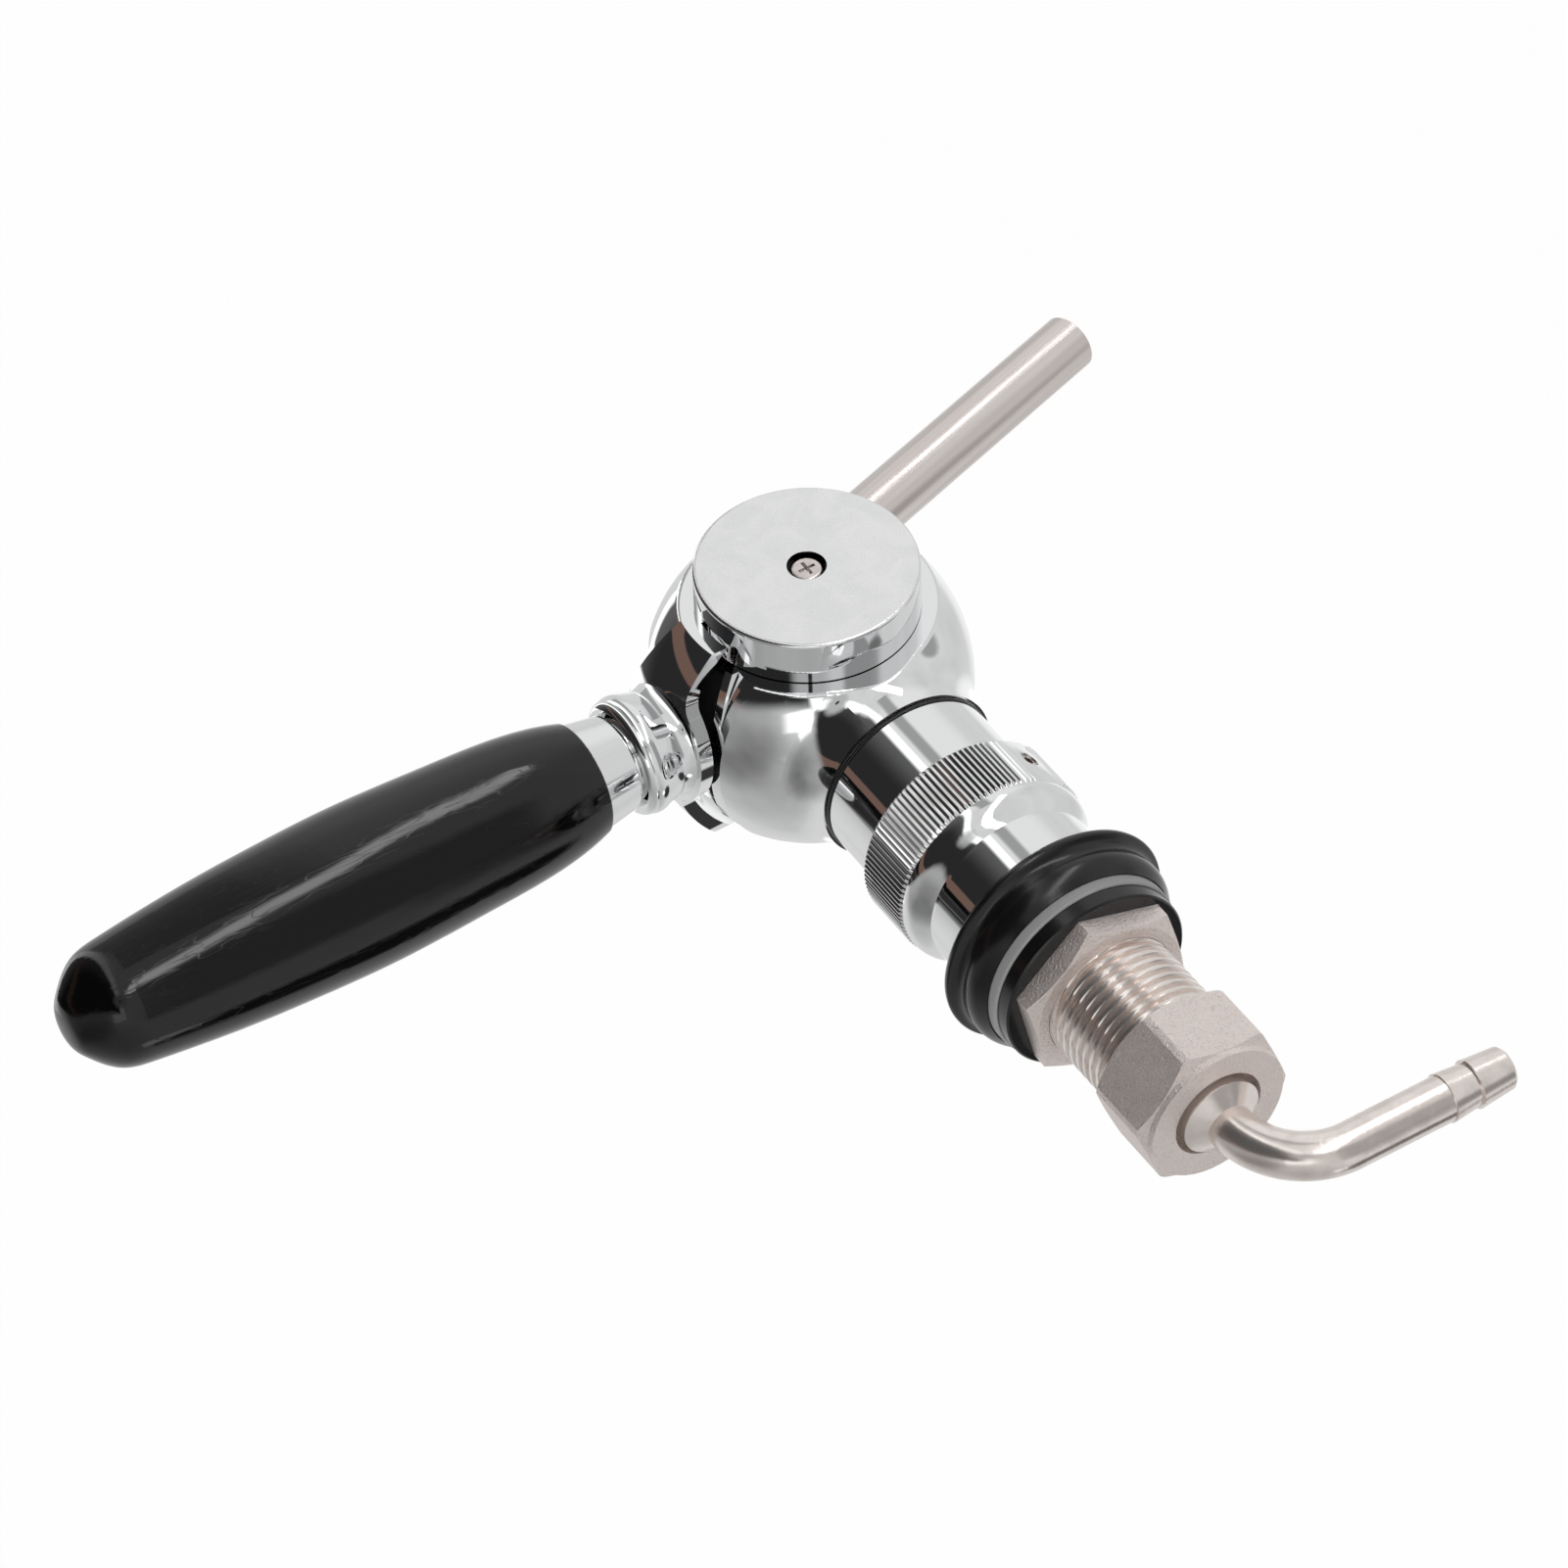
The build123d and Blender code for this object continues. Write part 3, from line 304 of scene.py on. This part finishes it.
def satin_cap():
    """Faces with soft clouds and fine crossing scratches; rims and screw seats are mirror polished, and the
    screw recess is painted dark as shade.
    """
    satin = Finish("satin cap", Metallic=1.0)
    spot = satin.place()
    x, y, z = spot.parts()
    outside = (x < CAP_FACES[0] + FACE_SKIN) + (x > CAP_FACES[1] - FACE_SKIN)
    level = y - PIVOT.y
    height = z - PIVOT.z
    seat = (level * level + height * height).maths("SQRT")
    face = outside * (seat > SCREW_SEAT_R)
    cloud = satin.noise(spot, 150, 3, 0.5, 0.8)
    one = satin.scratches(satin.place(turn=(0.5, 0, 0), stretch=(1, 1, 5)), 240, 0.02)
    other = satin.scratches(satin.place(turn=(-0.7, 0, 0), stretch=(1, 1, 6)), 210, 0.02)
    marks = one * 0.5 + other * 0.5
    polish = mix_colour(face * cloud.ramp(0.3, 0.7), CHROME, grey(0.90))
    # Painted shade: inside the cap faces, the screw recess is coloured near black where shade falls
    sunk = (x > CAP_FACES[0] + SEAT_SHADE_FROM) * (x < CAP_FACES[1] - SEAT_SHADE_FROM)
    seat_shade = (seat < SCREW_SEAT_R) * sunk
    satin.set(Base_Color=mix_colour(seat_shade, polish, grey(0.08)))
    satin.set(Roughness=(cloud * 0.08 + marks * 0.10 + 0.18) * face + 0.03)
    satin.relief((cloud * 0.5 + marks * 0.15) * face, 0.09, 0.0001)
    return satin.material


def brushed_spout():
    steel = Finish("brushed steel", Metallic=1.0)
    along = steel.place(centre=PIVOT, turn=(SPOUT_LEAN, 0, 0), stretch=(1, 1, 0.02))
    hair = steel.noise(along, 2600, 3, 0.6)
    broad = steel.noise(along, 520, 2, 0.5)
    tint = mix_colour(broad.ramp(0.3, 0.7), (0.66, 0.60, 0.575), (0.82, 0.77, 0.745))
    steel.set(Base_Color=tint)
    steel.set(Roughness=hair * 0.12 + 0.15)
    steel.relief(hair * 0.6 + broad * 0.5, 0.45, 0.00008)
    return steel.material


def warm_nickel(name, light, dark, gloss):
    nickel = Finish(name, Metallic=0.8)
    spot = nickel.place()
    stain = nickel.noise(spot, 240, 4, 0.6)
    nickel.set(Base_Color=mix_colour(stain.ramp(0.35, 0.70), light, dark))
    nickel.set(Roughness=stain * 0.12 + gloss)
    nickel.relief(nickel.noise(spot, 1500, 3), 0.25, 0.00006)
    return nickel.material


def blasted_nickel():
    """Sand-blasted plate: grit bumps, with a painted sparkle of tiny bright and dark facets in its colour.
    """
    blasted = Finish("blasted nickel", Metallic=0.85)
    spot = blasted.place()
    grit_and_sparkle = blasted.noise(spot, 2600, 2, 0.7)
    patch = blasted.noise(spot, 300, 3)
    tint = mix_colour(patch.ramp(0.3, 0.7), (1.0, 0.915, 0.875), (0.985, 0.895, 0.85))
    # Painted sparkle: the grit noise darkens tiny specks of the colour, as shaded facets between bright
    # ones
    blasted.set(Base_Color=mix_colour(grit_and_sparkle.ramp(0.32, 0.46), (0.80, 0.72, 0.68), tint))
    blasted.set(Roughness=grit_and_sparkle * 0.16 + 0.42)
    blasted.relief(grit_and_sparkle, 0.9, 0.00035)
    return blasted.material


def screw_metal():
    metal = Finish("screw nickel", Metallic=1.0)
    spot = metal.place()
    stain = metal.noise(spot, 900, 3)
    metal.set(Base_Color=mix_colour(stain, (0.82, 0.76, 0.73), (0.60, 0.54, 0.51)))
    metal.set(Roughness=stain * 0.16 + 0.16)
    metal.relief(stain, 0.25, 0.0001)
    return metal.material


# Rubber, plastic and lacquer

def grip_lacquer():
    """Deep black gloss with hair scratches along the grip."""
    grip = Finish("gloss black", Base_Color=grey(0.003), Specular_IOR_Level=0.48)
    spot = grip.place(stretch=(1, 1, 0.12))
    hair = grip.scratches(spot, 900, 0.03)
    haze = grip.noise(grip.place(), 90, 3).ramp(0.4, 0.8)
    grip.set(Roughness=hair * 0.14 + haze * 0.05 + 0.06)
    wave = grip.noise(grip.place(stretch=(1, 1, 0.2)), 120, 1)
    grip.relief(hair * 0.4 + wave, 0.06, 0.0002)
    return grip.material


def rubber():
    black = Finish("black rubber", Base_Color=(0.010, 0.010, 0.011))
    spot = black.place()
    cloud = black.noise(spot, 130, 3)
    black.set(Roughness=cloud * 0.12 + 0.16)
    black.relief(black.noise(spot, 1800, 2), 0.10, 0.0001)
    return black.material


def moulded(name, low, high, roughness):
    """Plain plastic or fibre, slightly clouded."""
    plain = Finish(name)
    spot = plain.place()
    cloud = plain.noise(spot, 260, 4, 0.6)
    plain.set(Base_Color=mix_colour(cloud, low, high), Roughness=cloud * 0.1 + roughness)
    return plain.material


chrome = polished_chrome()
nickel = warm_nickel("warm nickel", (0.96, 0.885, 0.84), (0.86, 0.78, 0.73), 0.14)
BY_SLOT = {
    "chrome": chrome,
    "satin_cap": satin_cap(),
    "spout_steel": brushed_spout(),
    "shank_nickel": nickel,
    "nut_nickel": blasted_nickel(),
    "grip_black": grip_lacquer(),
    "rubber_black": rubber(),
    "washer_grey": moulded("grey washer", grey(0.56), grey(0.64), 0.45),
    "seal_white": moulded("white seal", (0.74, 0.74, 0.72), (0.80, 0.80, 0.78), 0.45),
    "shutter_black": moulded("black shutter", grey(0.006), grey(0.009), 0.5),
    "screw_steel": screw_metal(),
}
for part in frame["record"]["subparts"]:
    slots = nodes[part["node"]].data.materials
    if not slots:
        slots.append(None)
    for place in range(len(slots)):
        slots[place] = BY_SLOT[part["material_slot"]]


# Shank with its real thread

def grow(name, build, inputs, material):
    """A mesh grown by a node tree, with the tree's inputs named and set."""
    tree = bpy.data.node_groups.new(name, "GeometryNodeTree")
    tree.interface.new_socket("Mesh", in_out="OUTPUT", socket_type="NodeSocketGeometry")
    sockets = {label: tree.interface.new_socket(label, in_out="INPUT", socket_type="NodeSocketFloat")
               for label in inputs}
    entry = tree.nodes.new("NodeGroupInput")
    result = build(tree, {label: Wire(tree, entry.outputs[label]) for label in inputs})
    real = add_node(tree, "GeometryNodeRealizeInstances", [result])
    painted = add_node(tree, "GeometryNodeSetMaterial", {"Geometry": real})
    painted.socket.node.inputs["Material"].default_value = material
    leave = tree.nodes.new("NodeGroupOutput")
    tree.links.new(painted.socket, leave.inputs[0])

    seed = new_object(name + "_seed", bpy.data.meshes.new(name + "_seed"))
    modifier = seed.modifiers.new("grown", "NODES")
    modifier.node_group = tree
    for label, value in inputs.items():
        modifier[sockets[label].identifier] = value
    bpy.context.view_layer.update()
    grown = seed.evaluated_get(bpy.context.evaluated_depsgraph_get())
    mesh = bpy.data.meshes.new_from_object(grown)
    seed.modifiers.remove(modifier)
    bpy.data.objects.remove(seed)
    mesh.name = name
    return tidy_mesh(mesh, material)


def tidy_mesh(mesh, material):
    """Faces outward, smooth, with sharp edges kept."""
    work = bmesh.new()
    work.from_mesh(mesh)
    bmesh.ops.remove_doubles(work, verts=work.verts, dist=1e-7)
    bmesh.ops.recalc_face_normals(work, faces=work.faces)
    work.to_mesh(mesh)
    work.free()
    mesh.shade_smooth()
    mesh.set_sharp_from_angle(angle=CREASE)
    mesh.materials.clear()
    mesh.materials.append(material)
    return mesh


def thread_tree(tree, given):
    """A closed tube: a grid's rows run along the outside and back through the bore."""
    rows = THREAD_ROWS
    sheet = add_node(tree, "GeometryNodeMeshGrid", {
        "Size X": 1.0, "Size Y": 1.0, "Vertices X": THREAD_AROUND + 1, "Vertices Y": rows + 4})
    across, up, _ = add_node(tree, "GeometryNodeInputPosition").parts()
    turn = (across + 0.5) * tau
    row = ((up + 0.5) * (rows + 3)).maths("ROUND")
    inside = (row > rows + 0.5) * (row < rows + 2.5)
    share = (row / rows).maths("MINIMUM", 1.0) * (row < rows + 1.5)
    along = share * (given["End"] - given["Front"]) + given["Front"]
    phase = (along / given["Pitch"] - turn / tau) % 1.0
    height = abs(phase * 2.0 - 1.0).ramp(0.06, 0.64)
    full = (along.ramp(THREAD_FROM, THREAD_FROM + THREAD_PITCH)
            * (1.0 - along.ramp(SHANK_END - THREAD_PITCH, SHANK_END)))
    outer = given["Crest"] - given["Depth"] * (1.0 - height * full)
    radius = outer * (1.0 - inside) + given["Bore"] * inside
    where = add_node(tree, "ShaderNodeCombineXYZ",
                     [radius * turn.maths("SINE"), along, radius * turn.maths("COSINE")])
    bent = add_node(tree, "GeometryNodeSetPosition", {"Geometry": sheet, "Position": where})
    return add_node(tree, "GeometryNodeMergeByDistance", {"Geometry": bent, "Distance": 1e-6})


shank = new_object("threaded_shank", grow("threaded_shank", thread_tree, {
    "Crest": THREAD_R, "Depth": THREAD_DEPTH, "Pitch": THREAD_PITCH, "Bore": SHANK_BORE_R,
    "Front": SHANK_FRONT, "End": SHANK_END}, nickel))
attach(shank, "housing")
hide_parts("shank_tube")


# Flow ring with its fine knurl

def knurl_tree(tree, given):
    """A closed ring: a grid bent round its section, ridged outside the pad, the grub screw's hole bored."""
    section = len(RING_SECTION)
    sheet = add_node(tree, "GeometryNodeMeshGrid", {
        "Size X": 1.0, "Size Y": 1.0, "Vertices X": KNURL_COUNT * KNURL_STEPS + 1,
        "Vertices Y": section + 1})
    around, up, _ = add_node(tree, "GeometryNodeInputPosition").parts()
    turn = (around + 0.5) * tau
    row = ((up + 0.5) * section).maths("ROUND") % section
    ridge = ((around + 0.5) * (KNURL_COUNT * tau)).maths("COSINE") * 0.5 + 0.5
    off_pad = abs((turn - given["Pad angle"] + pi) % tau - pi)
    knurled = off_pad.ramp(*PAD_EDGE)
    ridge = ridge.maths("SQRT") * knurled + (1.0 - knurled) * 0.5
    reach = 0.0
    along = 0.0
    for place, (radius, where) in enumerate(RING_SECTION):
        here = (row > place - 0.5) * (row < place + 0.5)
        reach = here * radius + reach
        along = here * where + along
    crest = row.between(1.5, 3.5, 0.1)
    reach = reach - (1.0 - ridge) * crest * given["Depth"]
    where = add_node(tree, "ShaderNodeCombineXYZ",
                     [reach * turn.maths("COSINE"), along, reach * turn.maths("SINE")])
    bent = add_node(tree, "GeometryNodeSetPosition", {"Geometry": sheet, "Position": where})
    joined = add_node(tree, "GeometryNodeMergeByDistance", {"Geometry": bent, "Distance": 1e-6})
    ring = add_node(tree, "GeometryNodeFlipFaces", [joined])
    drill = add_node(tree, "GeometryNodeMeshCylinder",
                     {"Vertices": DRILL_SIDES, "Radius": given["Hole radius"], "Depth": DRILL_DEPTH})
    way = Vector((cos(PAD_ANGLE), 0, sin(PAD_ANGLE)))
    placed = add_node(tree, "GeometryNodeTransform", {
        "Geometry": drill, "Translation": way * DRILL_CENTRE_R + Vector((0, GRUB_AT, 0)),
        "Rotation": way.to_track_quat("Z", "Y").to_euler()})
    cut = tree.nodes.new("GeometryNodeMeshBoolean")
    cut.operation = "DIFFERENCE"
    cut.solver = "EXACT"
    tree.links.new(ring.socket, cut.inputs["Mesh 1"])
    tree.links.new(placed.socket, cut.inputs["Mesh 2"])
    return Wire(tree, cut.outputs[0])


ring = new_object("knurled_ring", grow("knurled_ring", knurl_tree, {
    "Depth": KNURL_DEPTH, "Pad angle": PAD_ANGLE % tau, "Hole radius": GRUB_HOLE_R}, chrome))
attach(ring, "flow_ring")
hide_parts("flow_ring")


# Seam ring squeezed between ball and collar

def squeezed(node, share):
    """A copy of a round node, drawn in towards the shank's axis."""
    mesh = nodes[node].data.copy()
    mesh.transform(Matrix.Diagonal((share, 1, share, 1)))
    return tidy_mesh(mesh, mesh.materials[0])


seam = new_object("squeezed_seam_ring", squeezed("seam_o_ring", SEAM_SHARE))
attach(seam, "housing")
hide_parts("seam_o_ring")


# Rubber flange with its thin lip and the bead behind it

def turned(name, section, sides, material):
    """A closed ring turned about the shank's axis from its section."""
    count = len(section)
    points = []
    faces = []
    for step in range(sides):
        turn = tau * step / sides
        here = step * count
        there = (step + 1) % sides * count
        for row, (radius, where) in enumerate(section):
            following = (row + 1) % count
            points.append((radius * cos(turn), where, radius * sin(turn)))
            faces.append((here + row, here + following, there + following, there + row))
    mesh = bpy.data.meshes.new(name)
    mesh.from_pydata(points, [], faces)
    return tidy_mesh(mesh, material)


flange = new_object("lipped_flange", turned("lipped_flange", FLANGE_SECTION, FLANGE_SIDES,
                                            BY_SLOT["rubber_black"]))
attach(flange, "housing")
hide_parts("wall_flange")


# Studio: a pale tent with a dark doorway that the chrome mirrors

def build_world():
    world = bpy.data.worlds.new("tent")
    bpy.context.scene.world = world
    world.use_nodes = True
    tree = world.node_tree
    tree.nodes.clear()
    ray = add_node(tree, "ShaderNodeTexCoord")
    x, y, z = ray.parts()

    def patched(colour, patches):
        for way, inner, outer, level in patches:
            patch = dot_with(ray, Vector(way).normalized()).ramp(cos(radians(outer)), cos(radians(inner)))
            colour = mix_colour(patch, colour, grey(level))
        return colour

    # Cloth: darker overhead and to one side, with slow clouds
    cloud = add_node(tree, "ShaderNodeTexNoise", {"Vector": ray, "Scale": 2.2, "Detail": 2.0}) * 0.24 - 0.12
    overhead = z.ramp(0.62, 0.92) * 0.34
    far_side = (x * 0.7 + y * 0.5 + z * 0.5).ramp(0.50, 1.0) * 0.26
    level = 0.72 - overhead - far_side + cloud
    tent = patched(add_node(tree, "ShaderNodeCombineXYZ", [level, level, level]), TENT_PATCHES)

    # Doorway between three planes, with white bands below and beside it and a brown post inside
    sill = z - y * 0.207
    jamb = x * -0.883 - y * 0.469
    lintel = dot_with(ray, (0.811, 0.490, 0.318))
    doorway = sill.ramp(0.30, 0.35) * jamb.ramp(-0.02, 0.02) * (1.0 - lintel.ramp(0.12, 0.28))
    shade = mix_colour(z.ramp(0.20, 0.62), DOORWAY_FOOT, DOORWAY_HEAD)
    post = x.between(-0.22, -0.07, 0.012)
    below = sill.between(0.17, 0.30, 0.02) * jamb.ramp(-0.25, -0.20)
    beside = jamb.between(-0.24, -0.01, 0.02) * sill.between(0.30, 0.60, 0.06)

    # Darker ground on the hose's side and the lever's side, and the long lamp that streaks the grip
    under = z.between(-0.50, -0.04, 0.05) * y.ramp(0.40, 0.60) * (1.0 - x.ramp(-0.10, 0.10))
    low = z.between(-0.24, -0.04, 0.04) * (y < -0.1) * (x < -0.1)
    lamp = dot_with(ray, (-0.289, -0.521, 0.803)).between(-0.065, 0.065, 0.03) * (x < -0.82)

    tent = mix_colour(below, tent, grey(BAND_LEVEL))
    tent = mix_colour(beside, tent, grey(BAND_LEVEL))
    tent = mix_colour(under, tent, grey(UNDER_LEVEL))
    tent = mix_colour(low, tent, grey(LOW_LEVEL))
    tent = mix_colour(lamp, tent, LAMP_COLOUR)
    tent = mix_colour(doorway, tent, mix_colour(post, shade, POST_COLOUR))
    tent = patched(tent, ROOM_PATCHES)

    light = add_node(tree, "ShaderNodeBackground", {"Color": tent, "Strength": 1.0})
    clear = add_node(tree, "ShaderNodeBackground", {"Color": (1, 1, 1, 1), "Strength": 1.0})
    seen = add_node(tree, "ShaderNodeLightPath", out="Is Camera Ray")
    both = add_node(tree, "ShaderNodeMixShader", [seen, light, clear])
    output = tree.nodes.new("ShaderNodeOutputWorld")
    tree.links.new(both.socket, output.inputs[0])


def build_camera():
    view = bpy.data.cameras.new("view")
    view.sensor_width = CAMERA_SENSOR
    view.lens = CAMERA_LENS
    view.clip_end = CAMERA_REACH
    camera = new_object("view", view)
    rows = list(zip(CAMERA_RIGHT, CAMERA_UP, CAMERA_BACK, CAMERA_SPOT))
    camera.matrix_world = Matrix(rows + [(0, 0, 0, 1)])
    bpy.context.scene.camera = camera


def build_floor():
    """A pale floor that the camera sees as white, apart from the shadow; mirrored rays pass through it."""
    mesh = bpy.data.meshes.new("floor")
    low = cad_box[0][2] - FLOOR_BELOW
    corners = [(-1, -1), (1, -1), (1, 1), (-1, 1)]
    mesh.from_pydata([(x * FLOOR_REACH, y * FLOOR_REACH, low) for x, y in corners], [], [(0, 1, 2, 3)])
    floor = new_object("floor", mesh)
    pale = Finish("pale floor", Base_Color=grey(0.9), Roughness=0.6)
    tree = pale.tree
    seen = add_node(tree, "ShaderNodeLightPath", out="Is Camera Ray")
    mirrored = add_node(tree, "ShaderNodeLightPath", out="Is Glossy Ray")
    glow = add_node(tree, "ShaderNodeEmission", {"Color": (1, 1, 1, 1), "Strength": FLOOR_GLOW})
    clear = add_node(tree, "ShaderNodeBsdfTransparent")
    lit = Wire(tree, pale.shader.outputs[0])
    white = add_node(tree, "ShaderNodeMixShader", [seen * FLOOR_WHITE, lit, glow])
    both = add_node(tree, "ShaderNodeMixShader", [mirrored, white, clear])
    tree.links.new(both.socket, tree.nodes["Material Output"].inputs[0])
    mesh.materials.append(pale.material)


build_world()
build_camera()
build_floor()
bpy.context.scene.view_settings.view_transform = "Standard"
